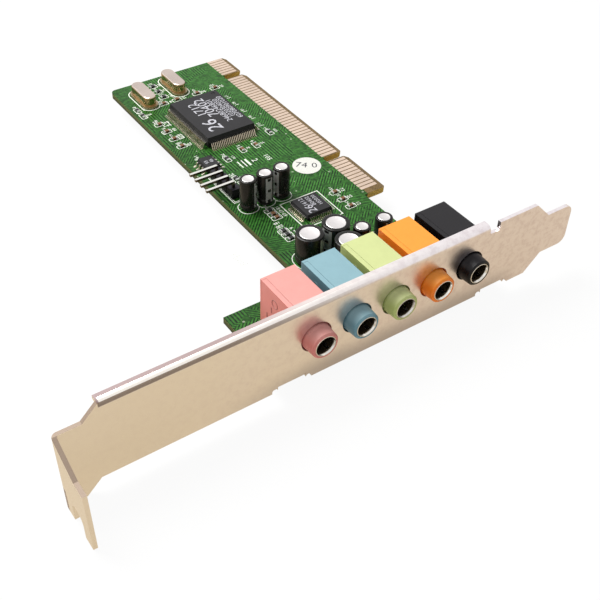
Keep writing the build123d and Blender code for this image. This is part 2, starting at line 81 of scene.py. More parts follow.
class Signal:
    """A number in a material's node tree, which takes part in Python expressions."""

    def __init__(self, painter: "Painter", socket: Socket) -> None:
        """Keeps the socket.

        Args:
            painter: the node builder that the socket belongs to.
            socket: the output socket that carries the number.
        """
        self.painter = painter
        self.socket = socket

    def _math(self, operation: str, *values: "Signal | float") -> "Signal":
        """Adds one Math node.

        Args:
            operation: the node's operation.
            values: its inputs, in order.

        Returns:
            The node's result.
        """
        inputs = dict(enumerate(values))
        node = self.painter.node("ShaderNodeMath", {"operation": operation}, inputs)
        return Signal(self.painter, node.outputs[0])

    def __add__(self, other: "Signal | float") -> "Signal":
        """Sum."""
        return self._math("ADD", self, other)

    def __radd__(self, other: float) -> "Signal":
        """Sum with a number on the left."""
        return self._math("ADD", other, self)

    def __sub__(self, other: "Signal | float") -> "Signal":
        """Difference."""
        return self._math("SUBTRACT", self, other)

    def __rsub__(self, other: float) -> "Signal":
        """Difference with a number on the left."""
        return self._math("SUBTRACT", other, self)

    def __mul__(self, other: "Signal | float") -> "Signal":
        """Product."""
        return self._math("MULTIPLY", self, other)

    def __rmul__(self, other: float) -> "Signal":
        """Product with a number on the left."""
        return self._math("MULTIPLY", other, self)

    def __truediv__(self, other: "Signal | float") -> "Signal":
        """Quotient."""
        return self._math("DIVIDE", self, other)

    def __abs__(self) -> "Signal":
        """Absolute value."""
        return self._math("ABSOLUTE", self)

    def __gt__(self, other: "Signal | float") -> "Signal":
        """One where this is the greater, else zero."""
        return self._math("GREATER_THAN", self, other)

    def __lt__(self, other: "Signal | float") -> "Signal":
        """One where this is the smaller, else zero."""
        return self._math("LESS_THAN", self, other)

    def largest(self, other: "Signal | float") -> "Signal":
        """The greater of two numbers."""
        return self._math("MAXIMUM", self, other)

    def smallest(self, other: "Signal | float") -> "Signal":
        """The smaller of two numbers."""
        return self._math("MINIMUM", self, other)

    def wave(self, period: float) -> "Signal":
        """A sine of this length in millimetres, from -1 to 1."""
        return self._math("SINE", self * (math.tau / period))

    def ramp(self, low: float, high: float, start: float = 0.0, end: float = 1.0) -> "Signal":
        """Eases from one value to another.

        Args:
            low: where the change starts.
            high: where it ends.
            start: the value below low.
            end: the value above high.

        Returns:
            The eased number.
        """
        settings = {"interpolation_type": "SMOOTHSTEP"}
        inputs = {"Value": self, "From Min": low, "From Max": high, "To Min": start, "To Max": end}
        node = self.painter.node("ShaderNodeMapRange", settings, inputs)
        return Signal(self.painter, node.outputs[0])


class Painter:
    """Builds one material's nodes around a single surface shader."""

    def __init__(self, name: str, **constants: float | Colour) -> None:
        """Starts the material.

        Args:
            name: the material's name.
            constants: values set on the shader's own sockets, with spaces written as underscores.
        """
        self.material = bpy.data.materials.new(name)
        self.material.use_nodes = True
        self.tree = self.material.node_tree
        self.tree.nodes.clear()
        self.output = self.tree.nodes.new("ShaderNodeOutputMaterial")
        self.shader = self.tree.nodes.new("ShaderNodeBsdfPrincipled")
        self.tree.links.new(self.shader.outputs[0], self.output.inputs["Surface"])
        for key, value in constants.items():
            self.feed(self.shader.inputs[key.replace("_", " ")], value)

    def feed(self, socket: Socket, value: object) -> None:
        """Links or sets a socket.

        Args:
            socket: the input socket.
            value: a signal or socket to link, or a constant to set.
        """
        if isinstance(value, Signal):
            value = value.socket
        if isinstance(value, Socket):
            self.tree.links.new(value, socket)
        elif isinstance(value, tuple) and socket.type == "RGBA":
            socket.default_value = (*value, 1.0)
        else:
            socket.default_value = value

    def node(
        self, kind: str, settings: dict[str, object], inputs: dict[int | str, object]
    ) -> bpy.types.Node:
        """Adds any node.

        Args:
            kind: the node's type.
            settings: its own properties, set first.
            inputs: values or links for its sockets, by name or place.

        Returns:
            The new node.
        """
        node = self.tree.nodes.new(kind)
        for key, value in settings.items():
            setattr(node, key, value)
        for key, value in inputs.items():
            self.feed(node.inputs[key], value)
        return node

    def vector(self, operation: str, inputs: dict[int | str, object]) -> Socket:
        """Adds one Vector Math node and gives its result."""
        return self.node("ShaderNodeVectorMath", {"operation": operation}, inputs).outputs[0]

    def place(self, centre: Point = (0, 0, 0), stretch: Triple = (1, 1, 1)) -> Socket:
        """Object coordinates in millimetres.

        Args:
            centre: the point that becomes zero, in millimetres.
            stretch: a factor on each axis, applied after centring.

        Returns:
            The vector socket.
        """
        raw = self.node("ShaderNodeTexCoord", {}, {}).outputs["Object"]
        scaled = self.vector("SCALE", {0: raw, "Scale": 1 / MM})
        moved = self.vector("SUBTRACT", {0: scaled, 1: tuple(centre)})
        return self.vector("MULTIPLY", {0: moved, 1: stretch})

    def axes(self, vector: Socket) -> tuple[Signal, Signal, Signal]:
        """Splits a vector into its three numbers."""
        split = self.node("ShaderNodeSeparateXYZ", {}, {0: vector})
        return tuple(Signal(self, out) for out in split.outputs)

    def up(self) -> Signal:
        """How far the surface faces up: one for level, zero for upright."""
        return self.axes(self.node("ShaderNodeNewGeometry", {}, {}).outputs["Normal"])[2]

    def noise(
        self, size: float, detail: float = 3.0, stretch: Triple = (1, 1, 1), rough: float = 0.55
    ) -> Signal:
        """Soft random variation about 0.5.

        Args:
            size: the width of its largest blotches, in millimetres.
            detail: how many finer layers are added.
            stretch: a factor on each axis.
            rough: how strong the finer layers are.

        Returns:
            The noise.
        """
        inputs = {"Scale": 1 / size, "Detail": detail, "Roughness": rough}
        inputs["Vector"] = self.place(stretch=stretch)
        return Signal(self, self.node("ShaderNodeTexNoise", {}, inputs).outputs[0])

    def cells(self, size: float, metric: str = "EUCLIDEAN") -> tuple[Signal, Signal]:
        """Random cells.

        Args:
            size: the cells' width in millimetres.
            metric: how distance is measured.

        Returns:
            The distance from the cell's centre, as a share of its width, and its random number.
        """
        settings = {"distance": metric, "feature": "F1"}
        inputs = {"Vector": self.place(), "Scale": 1 / size}
        node = self.node("ShaderNodeTexVoronoi", settings, inputs)
        split = self.node("ShaderNodeSeparateColor", {}, {0: node.outputs["Color"]})
        return Signal(self, node.outputs["Distance"]), Signal(self, split.outputs[0])

    def blend(self, factor: Signal | float, low: object, high: object) -> Socket:
        """Mixes two colours.

        Args:
            factor: zero for the first colour, one for the second.
            low: the first colour.
            high: the second colour.

        Returns:
            The colour socket.
        """
        inputs = {0: factor, MIX_LOW: low, MIX_HIGH: high}
        return self.node("ShaderNodeMix", {"data_type": "RGBA"}, inputs).outputs[MIX_RESULT]

    def relief(self, height: Signal, depth: float) -> None:
        """Raises and lowers the surface's shading.

        Args:
            height: the height, about 0 to 1.
            depth: how deep that range is, in millimetres.
        """
        inputs = {"Strength": 1.0, "Distance": depth * MM, "Height": height}
        bump = self.node("ShaderNodeBump", {}, inputs)
        self.feed(self.shader.inputs["Normal"], bump.outputs[0])

    def finish(self, **links: object) -> Material:
        """Links what varies over the surface.

        Args:
            links: signals or colours for the shader's sockets, with spaces written as underscores.

        Returns:
            The material.
        """
        for key, value in links.items():
            self.feed(self.shader.inputs[key.replace("_", " ")], value)
        return self.material


# Finishes


class Finish(Protocol):
    """Anything that builds a material."""

    def material(self) -> Material:
        """Builds the material."""


def scaled(colour: Colour, factor: float) -> Colour:
    """A colour made darker or paler by a factor."""
    return tuple(c * factor for c in colour)


@dataclass(frozen=True)
class MouldedPlastic:
    """Injection-moulded plastic with a fine spark texture, and painted shade: a deeper copy of its
    colour on its upright faces.
    """

    name: str
    colour: Colour
    roughness: float = 0.42
    grain_size: float = 0.35
    cloud_size: float = 2.5
    speck_size: float = 0.45
    grain_depth: float = 0.010
    # painted shade: the power that deepens the colour on upright faces
    shade: float = 1.42
    dirt: float = 0.7

    def material(self) -> Material:
        """Builds the material."""
        painter = Painter(self.name, Specular_IOR_Level=0.22)
        cloud = painter.noise(self.cloud_size, 2)
        pits = painter.noise(self.grain_size, 2)
        specks = painter.noise(self.speck_size, 1).ramp(0.72, 0.78)
        painter.relief(pits + cloud * 0.4, self.grain_depth)
        # painted shade: upright faces get the colour raised to a power, which deepens it
        side = tuple(c ** self.shade for c in self.colour)
        colour = painter.blend(painter.up().ramp(0.3, 0.95), side, self.colour)
        dirty = cloud.ramp(0.3, 0.7, 0.0, 0.14) + specks * 0.3
        colour = painter.blend(dirty, colour, scaled(self.colour, self.dirt))
        return painter.finish(Base_Color=colour, Roughness=self.roughness + (pits - 0.5) * 0.2)


@dataclass(frozen=True)
class PlatedMetal:
    """Plated metal: a tint, drawn streaks, small stains and perhaps a painted shade colour on its
    upright faces.
    """

    name: str
    colour: Colour
    roughness: float
    streak: Triple = (1.0, 1.0, 1.0)
    grain: float = 0.4
    stain: float = 0.12
    # painted shade: a darker colour for the upright faces, if given
    side: Colour | None = None
    cloud_size: float = 9.0
    spot_size: float = 0.9
    grain_depth: float = 0.006

    def material(self) -> Material:
        """Builds the material."""
        painter = Painter(self.name)
        lines = painter.noise(self.grain, 3, stretch=self.streak)
        cloud = painter.noise(self.cloud_size, 3)
        spots = painter.noise(self.spot_size, 4, rough=0.7).ramp(0.62, 0.72)
        stained = (cloud.ramp(0.35, 0.7) + spots * 0.5).smallest(1.0)
        colour = painter.blend(stained, self.colour, scaled(self.colour, 1 - self.stain))
        # painted shade: upright faces take the side colour
        if self.side:
            colour = painter.blend(painter.up().ramp(0.25, 0.8), self.side, colour)
        painter.relief(lines + spots * -0.4, self.grain_depth)
        rough = self.roughness + (lines - 0.5) * 0.16 + cloud.ramp(0.4, 0.75, 0.0, 0.06)
        return painter.finish(Base_Color=colour, Metallic=1.0 - spots * 0.15, Roughness=rough)


@dataclass(frozen=True)
class SatinNickel:
    """The bracket's satin plating: warmer at the tab, with painted shade along the lower edge, at
    the fold and round the flange's rim.
    """

    name: str
    near: Colour
    far: Colour
    roughness: float
    flange_top: float
    flange_start: float = 8.57
    flange_depth: float = 2.2
    fold_height: float = 1.2
    rim_width: float = 0.9
    end_width: float = 0.4
    margin: float = 0.1
    tab_fold: Triple = (1.2, -1.2, 2.5)
    fade: Span = (30.0, 75.0)
    # painted shade along the lower edge: where along X it starts and ends
    stain_start: Span = (25.0, 60.0)
    stain_end: Span = (96.0, 108.0)
    # painted shade along the bends
    fold: Colour = (0.24, 0.15, 0.09)
    # painted shade: the dark outline round the flange's top
    rim: Colour = (0.34, 0.25, 0.25)
    mottle: Colour = (0.60, 0.50, 0.52)
    blotch_size: float = 22.0
    mottle_size: float = 1.7
    grain_depth: float = 0.004
    # the darker tone for the painted lower-edge shade and for real pits
    tarnish: float = 0.56
    edge_height: float = 6.0

    def material(self) -> Material:
        """Builds the material."""
        painter = Painter(self.name)
        x, y, z = painter.axes(painter.place())
        up = painter.up()
        high = (z > self.flange_top - self.fold_height) * (x > self.flange_start - self.margin)
        inner = (y < self.flange_depth - self.rim_width) * (x > self.flange_start + self.end_width)
        # painted shade: a dark rim round the flange's top face
        rim = high * up.ramp(0.5, 0.8) * (1.0 - inner)
        right, front, top = self.tab_fold
        # painted shade in the tab's bend corner
        corner = (x < right) * (z < top) * (y > front)
        fade = x.ramp(*self.fade, 1.0, 0.0)
        # painted shade: up-facing faces off the flange's top, mostly at the bends
        fold = (up.ramp(0.1, 0.25) * (1.0 - high * (up > 0.74)) * fade).largest(corner)
        blotch = painter.noise(self.blotch_size, 2)
        rolled = painter.noise(0.5, 3, stretch=(0.1, 1.0, 1.0))
        fine = painter.noise(0.3, 2)
        pits = painter.noise(0.8, 4, rough=0.7).ramp(0.70, 0.78)
        along = (x + (blotch - 0.5) * 40.0).ramp(10.0, 110.0)
        # painted shade: darker towards the bottom edge of the face, between the given X limits
        low = (z + (blotch - 0.5) * 5.0).ramp(0.0, self.edge_height, 1.0, 0.0)
        low = low * x.ramp(*self.stain_start) * x.ramp(*self.stain_end, 1.0, 0.0)
        patches = painter.noise(self.mottle_size, 4, rough=0.7).ramp(0.42, 0.66)
        colour = painter.blend(along, self.near, self.far)
        colour = painter.blend(patches * (along * 0.35 + 0.06), colour, self.mottle)
        # painted lower-edge shade plus real pits
        dull = (low * 0.95 + pits * 0.35).smallest(1.0)
        colour = painter.blend(dull, colour, scaled(self.far, self.tarnish))
        colour = painter.blend(rim * fade, colour, self.rim)
        colour = painter.blend(fold * 0.85, colour, self.fold)
        painter.relief(rolled * 0.6 + fine * 0.4 - pits * 0.5, self.grain_depth)
        # painted shade on the rim and the fold: less metal and rougher there
        toned = (rim * fade).largest(fold)
        rough = self.roughness + (fine - 0.5) * 0.12 + low * 0.05 + toned * 0.3
        metal = 1.0 - pits * 0.1 - toned * 0.88
        return painter.finish(Base_Color=colour, Metallic=metal, Roughness=rough)


@dataclass(frozen=True)
class ChipEpoxy:
    """Black moulding compound with a matt ground top."""

    name: str
    colour: Colour = (0.014, 0.0135, 0.015)
    grain_size: float = 0.22
    cloud_size: float = 5.0
    grain_depth: float = 0.01
    pale: float = 1.5

    def material(self) -> Material:
        """Builds the material."""
        painter = Painter(self.name, Specular_IOR_Level=0.22)
        grain = painter.noise(self.grain_size, 3, rough=0.7)
        cloud = painter.noise(self.cloud_size, 2)
        painter.relief(grain, self.grain_depth)
        toned = (grain * 0.6 + cloud * 0.4).ramp(0.35, 0.75)
        colour = painter.blend(toned, self.colour, scaled(self.colour, self.pale))
        return painter.finish(Base_Color=colour, Roughness=0.52 + grain * 0.15)


@dataclass(frozen=True)
class PrintedBoard:
    """Green solder mask over etched copper, bare laminate at the tongue and the sawn edges."""

    name: str
    tongue_x: float
    tongue_y: float
    mask_dark: Colour = (0.001, 0.014, 0.001)
    mask_light: Colour = (0.048, 0.205, 0.028)
    laminate: Colour = (0.19, 0.125, 0.055)
    saw_light: Colour = (0.085, 0.10, 0.03)
    saw_dark: Colour = (0.03, 0.028, 0.014)
    tongue_wall: Colour = (0.50, 0.33, 0.075)
    tin: Colour = (0.42, 0.50, 0.36)
    track_pitch: float = 0.64
    track_block: float = 7.5
    track_depth: float = 0.02
    via_spacing: float = 1.9
    via_ring: Span = (0.10, 0.15)
    via_hole: float = 0.06
    via_lot: float = 0.72
    wing_depth: float = 13.0
    shadow_x: Span = (56.0, 82.0)
    shadow_y: Span = (10.0, 25.0)
    shadow: Span = (0.42, 0.06)

    def tracks(self, painter: Painter, x: Signal, y: Signal) -> Signal:
        """Lays etched tracks in blocks that run three ways, with plain copper between them.

        Args:
            painter: the material's node builder.
            x: the place across the board, in millimetres.
            y: the place along it.

        Returns:
            One on copper, less beside it.
        """
        _, pick = painter.cells(self.track_block, "CHEBYCHEV")
        slant = 1 / math.sqrt(2)
        falling = ((x - y) * slant).wave(self.track_pitch)
        rising = ((x + y) * slant).wave(self.track_pitch)
        upright = x.wave(self.track_pitch * 1.2)
        wing = y < self.wing_depth
        pick = pick * (1.0 - wing) + wing * 0.5
        lines = rising * (pick < 0.4) + falling * (pick > 0.4) * (pick < 0.7)
        lines = lines + upright * (pick > 0.7)
        sparse = painter.noise(3.2, 1).ramp(0.40, 0.48)
        speckle = painter.noise(0.9, 3, rough=0.75).ramp(0.35, 0.65)
        plain = (1.0 - sparse) * 0.35
        return lines.ramp(-0.3, 0.2) * sparse * 0.8 + plain + (speckle - 0.4) * 0.5

    def material(self) -> Material:
        """Builds the material."""
        painter = Painter(self.name, Specular_IOR_Level=0.14, Coat_Roughness=0.18)
        x, y, z = painter.axes(painter.place())
        side = 1.0 - abs(painter.up()).ramp(0.35, 0.6)
        bare = (x > self.tongue_x) * (y > self.tongue_y)
        tracks = self.tracks(painter, x, y)
        spot, lot = painter.cells(self.via_spacing)
        drilled = lot > self.via_lot
        shadow = x.ramp(*self.shadow_x, *self.shadow) * y.ramp(*self.shadow_y)
        mask = painter.blend(tracks, self.mask_dark, self.mask_light)
        mask = painter.blend(shadow, mask, self.mask_dark)
        mask = painter.blend(spot.ramp(*self.via_ring, 1.0, 0.0) * drilled, mask, self.tin)
        mask = painter.blend((spot < self.via_hole) * drilled, mask, self.mask_dark)
        fibre = painter.noise(0.8, 3, stretch=(1.0, 1.0, 5.0))
        layers = (z * 0.55 + fibre - 1.1).ramp(0.0, 0.9)
        saw = painter.blend(layers, self.saw_dark, self.saw_light)
        weave = (x.wave(0.9) * y.wave(0.9)) * 0.12 + painter.noise(1.2, 2)
        base = painter.blend(weave.ramp(0.3, 0.7), scaled(self.laminate, 0.6), self.laminate)
        colour = painter.blend(bare, mask, base)
        saw = painter.blend(bare, saw, self.tongue_wall)
        colour = painter.blend(side, colour, saw)
        flat = 1.0 - bare.largest(side)
        painter.relief(tracks * flat + fibre * side, self.track_depth)
        cloud = painter.noise(14.0, 3)
        rough = 0.34 + cloud * 0.12 + side * 0.3 + bare * 0.12
        return painter.finish(Base_Color=colour, Roughness=rough, Coat_Weight=flat * 0.05)


@dataclass(frozen=True)
class ShrinkSleeve:
    """Black shrink film with one grey stripe that carries dark bars."""

    name: str
    centre: Triple
    radius: float
    height: float
    turn: float
    stripe: Colour = (0.30, 0.31, 0.30)
    film: Colour = (0.007, 0.0065, 0.006)
    stripe_half: float = 0.42
    bar_half: float = 0.2
    bar_count: float = 2.6
    border: Span = (0.06, 0.93)
    wrinkle_size: float = 0.7
    wrinkle_depth: float = 0.02

    def material(self) -> Material:
        """Builds the material."""
        painter = Painter(self.name, Specular_IOR_Level=0.25)
        x, y, z = painter.axes(painter.place(self.centre))
        across = (x * -math.sin(self.turn) + y * math.cos(self.turn)) / self.radius
        front = (x * math.cos(self.turn) + y * math.sin(self.turn)) > 0.0
        stripe = (abs(across) < self.stripe_half) * front
        bars = (abs(across) < self.bar_half) * (z.wave(self.height / self.bar_count) > 0.72)
        low, high = self.border
        border = (z > self.height * low) * (z < self.height * high)
        shrink = painter.noise(self.wrinkle_size, 2, stretch=(1, 1, 0.3))
        colour = painter.blend(stripe * (1.0 - bars) * border, self.film, self.stripe)
        painter.relief(shrink, self.wrinkle_depth)
        return painter.finish(Base_Color=colour, Roughness=0.2 + shrink * 0.14)


@dataclass(frozen=True)
class FlatInk:
    """Printing ink or paper: one colour with uneven cover."""

    name: str
    colour: Colour
    roughness: float = 0.6
    grain_size: float = 0.25
    grain_depth: float = 0.004
    thin: float = 0.82

    def material(self) -> Material:
        """Builds the material."""
        painter = Painter(self.name, Specular_IOR_Level=0.3)
        grain = painter.noise(self.grain_size, 3, rough=0.7)
        painter.relief(grain, self.grain_depth)
        thin = scaled(self.colour, self.thin)
        colour = painter.blend(grain.ramp(0.4, 0.65), self.colour, thin)
        return painter.finish(Base_Color=colour, Roughness=self.roughness)


# Hand modelling


@dataclass(frozen=True)
class Box:
    """A box in millimetres."""

    low: Vector
    high: Vector

    @property
    def centre(self) -> Vector:
        """Middle of the box."""
        return (self.low + self.high) / 2

    @property
    def size(self) -> Vector:
        """Length of each side."""
        return self.high - self.low


def node_box(node: str) -> Box:
    """A CAD node's box in millimetres."""
    low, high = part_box(node)
    return Box(low / MM, high / MM)


def islands(node: str) -> list[Box]:
    """Finds the separate solids of a CAD node.

    Args:
        node: the node's name.

    Returns:
        One box for each solid, ordered by X, then Y.
    """
    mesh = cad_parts[node].data
    points = [tuple(round(c / MM, 4) for c in vertex.co) for vertex in mesh.vertices]
    parent = {point: point for point in points}

    def root(point: tuple) -> tuple:
        """Follows the chain to its first point."""
        while parent[point] != point:
            parent[point] = parent[parent[point]]
            point = parent[point]
        return point

    for polygon in mesh.polygons:
        corners = [points[i] for i in polygon.vertices]
        first = root(corners[0])
        for corner in corners[1:]:
            parent[root(corner)] = first
    groups: dict[tuple, list[tuple]] = {}
    for point in set(points):
        groups.setdefault(root(point), []).append(point)
    boxes = []
    for members in groups.values():
        low = Vector([min(p[i] for p in members) for i in range(3)])
        high = Vector([max(p[i] for p in members) for i in range(3)])
        boxes.append(Box(low, high))
    return sorted(boxes, key=lambda box: (round(box.low.x, 2), round(box.low.y, 2)))


def shifts(places: Sequence[Point]) -> list[Vector]:
    """How far each place lies from the first."""
    return [Vector(place) - Vector(places[0]) for place in places]


class Bench:
    """Modelling steps on one mesh at a time, in millimetres."""

    @staticmethod
    def clear() -> None:
        """Leaves edit mode and deselects everything."""
        if bpy.context.object and bpy.context.object.mode != "OBJECT":
            bpy.ops.object.mode_set(mode="OBJECT")
        bpy.ops.object.select_all(action="DESELECT")

    @staticmethod
    def activate(piece: Piece) -> None:
        """Selects one object alone."""
        Bench.clear()
        piece.select_set(True)
        bpy.context.view_layer.objects.active = piece

    @staticmethod
    def edit() -> None:
        """Enters edit mode with everything selected."""
        bpy.ops.object.mode_set(mode="EDIT")
        bpy.ops.mesh.select_all(action="SELECT")

    @staticmethod
    def close() -> None:
        """Turns every face outwards and leaves edit mode."""
        bpy.ops.mesh.select_all(action="SELECT")
        bpy.ops.mesh.normals_make_consistent(inside=False)
        bpy.ops.object.mode_set(mode="OBJECT")

    @staticmethod
    def extrude(step: Point) -> None:
        """Extrudes what is selected by a step in millimetres."""
        bpy.ops.mesh.extrude_region_move(TRANSFORM_OT_translate={"value": Vector(step) * MM})

    @staticmethod
    def settle(piece: Piece, centre: Point, size: Point) -> None:
        """Gives a new primitive its size and place, both within its mesh.

        Args:
            piece: the object.
            centre: where its middle goes.
            size: its length on each axis.
        """
        matrix = Matrix.Translation(Vector(centre) * MM)
        piece.data.transform(matrix @ Matrix.Diagonal((*(Vector(size) * MM), 1.0)))
        piece.data.update()

    @staticmethod
    def block(centre: Point, size: Point, edge: float) -> Piece:
        """Models a block with softened edges.

        Args:
            centre: its middle.
            size: its length on each axis.
            edge: the bevel's width.

        Returns:
            The object.
        """
        Bench.clear()
        bpy.ops.mesh.primitive_cube_add(size=1)
        piece = bpy.context.object
        Bench.settle(piece, centre, size)
        Bench.edit()
        bpy.ops.mesh.bevel(offset=edge * MM, segments=1)
        bpy.ops.object.mode_set(mode="OBJECT")
        return piece

    @staticmethod
    def outline(centre: Point, size: Point, line: float, corner: float, thick: float) -> Piece:
        """Models a flat printed outline.

        Args:
            centre: the middle of its lower face.
            size: its outer length on X and Y.
            line: the line's width.
            corner: the corners' radius.
            thick: the ink's thickness.

        Returns:
            The object.
        """
        Bench.clear()
        bpy.ops.mesh.primitive_plane_add(size=1)
        piece = bpy.context.object
        Bench.settle(piece, centre, (*size[:2], 1))
        Bench.edit()
        if corner > 0:
            bpy.ops.mesh.bevel(offset=corner * MM, segments=5, affect="VERTICES")
            bpy.ops.mesh.select_all(action="SELECT")
        bpy.ops.mesh.select_mode(type="FACE")
        bpy.ops.mesh.inset(thickness=line * MM)
        bpy.ops.mesh.delete(type="FACE")
        bpy.ops.mesh.select_all(action="SELECT")
        Bench.extrude((0, 0, thick))
        Bench.close()
        return piece

    @staticmethod
    def draw_out(rings: Sequence[Span]) -> None:
        """Draws the selected ring out to each of the others in turn.

        Args:
            rings: every ring's radius and height; the first is the one selected.
        """
        for (radius, height), (next_radius, next_height) in zip(rings, rings[1:]):
            Bench.extrude((0, 0, next_height - height))
            grow = next_radius / radius
            bpy.ops.transform.resize(value=(grow, grow, 1), center_override=(0, 0, 0))

    @staticmethod
    def turned(centre: Point, rings: Sequence[Span], sides: int) -> Piece:
        """Models a round form from the bottom up.

        Args:
            centre: the point on its axis at height zero.
            rings: every ring's radius and height.
            sides: how many sides the rings have.

        Returns:
            The object.
        """
        Bench.clear()
        radius, height = rings[0]
        bpy.ops.mesh.primitive_circle_add(vertices=sides, radius=radius * MM, fill_type="NGON")
        piece = bpy.context.object
        piece.data.transform(Matrix.Translation((0, 0, height * MM)))
        Bench.edit()
        Bench.draw_out(rings)
        Bench.close()
        piece.data.transform(Matrix.Translation(Vector(centre) * MM))
        bpy.ops.object.shade_smooth_by_angle(angle=SMOOTH_ANGLE)
        return piece

    @staticmethod
    def figures(text: str, centre: Point, height: float, thick: float, turn: float) -> Piece:
        """Models plain figures.

        Args:
            text: the figures.
            centre: the middle of their lower face.
            height: the figures' height.
            thick: the ink's thickness.
            turn: their turn about Z, in degrees.

        Returns:
            The object.
        """
        Bench.clear()
        bpy.ops.object.text_add()
        words = bpy.context.object
        words.data.body = text
        words.data.align_x = "CENTER"
        words.data.align_y = "CENTER"
        words.data.resolution_u = 2
        words.data.size = height * MM * FONT_SIZE
        words.data.extrude = thick * MM / 2
        bpy.ops.object.convert(target="MESH")
        piece = bpy.context.object
        lift = Vector((centre[0], centre[1], centre[2] + thick / 2)) * MM
        spin = Matrix.Rotation(math.radians(turn), 4, "Z")
        piece.data.transform(Matrix.Translation(lift) @ spin)
        return piece

    @staticmethod
    def copy(piece: Piece, shift: Vector) -> Piece:
        """Copies a piece with its own mesh.

        Args:
            piece: the object to copy.
            shift: how far the copy is moved, in millimetres.

        Returns:
            The copy.
        """
        twin = piece.copy()
        twin.data = piece.data.copy()
        twin.data.transform(Matrix.Translation(shift * MM))
        bpy.context.scene.collection.objects.link(twin)
        return twin

    @staticmethod
    def spread(model: Piece, places: Sequence[Point]) -> list[Piece]:
        """Copies a piece to several places and removes the model.

        Args:
            model: the piece, made at the first place.
            places: where the copies go, in millimetres.

        Returns:
            The copies.
        """
        pieces = [Bench.copy(model, shift) for shift in shifts(places)]
        bpy.data.objects.remove(model)
        return pieces

    @staticmethod
    def join(pieces: list[Piece]) -> Piece:
        """Joins several objects into the first."""
        Bench.activate(pieces[0])
        for piece in pieces[1:]:
            piece.select_set(True)
        if len(pieces) > 1:
            bpy.ops.object.join()
        return pieces[0]

    @staticmethod
    def hand_over(piece: Piece, name: str, slot: str, *materials: Material) -> Piece:
        """Names a finished piece, dresses it and sets it on the card.

        Args:
            piece: the object.
            name: its name.
            slot: the record's material slot; not used.
            materials: its finishes.

        Returns:
            The object.
        """
        piece.name = name
        piece.data.name = name
        while len(piece.data.materials) < len(materials):
            piece.data.materials.append(None)
        for slot_number, material in enumerate(materials):
            piece.data.materials[slot_number] = material
        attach(piece, BODY)
        LOG.info("%s: %d faces", name, len(piece.data.polygons))
        return piece


def dress(finish: Finish, *nodes: str) -> Material:
    """Gives CAD nodes a finish.

    Args:
        finish: the finish.
        nodes: the nodes' names.

    Returns:
        The finish's material.
    """
    material = finish.material()
    for node in nodes:
        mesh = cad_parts[node].data
        mesh.materials.clear()
        mesh.materials.append(material)
        LOG.info("dressed %s with %s", node, material.name)
    return material


# Sub-assemblies


class JackColour(Enum):
    """The five jacks' colours, from the screw tab's side."""

    PINK = (0.74, 0.34, 0.31)
    BLUE = (0.245, 0.41, 0.47)
    GREEN = (0.57, 0.63, 0.29)
    ORANGE = (0.93, 0.33, 0.05)
    BLACK = (0.011, 0.010, 0.012)


@dataclass
class SlotBracket:
    """The folded bracket and its two screws."""

    tint: Colour = (0.90, 0.85, 0.78)
    far_tint: Colour = (0.88, 0.82, 0.84)
    zinc: Colour = (0.66, 0.66, 0.68)
    roughness: float = 0.30

    def build(self) -> None:
        """Dresses the bracket's nodes."""
        top = node_box("bracket").high.z
        dress(SatinNickel("satin_nickel", self.tint, self.far_tint, self.roughness, top), "bracket")
        dress(PlatedMetal("bright_zinc", self.zinc, 0.3), "bracket_screws")


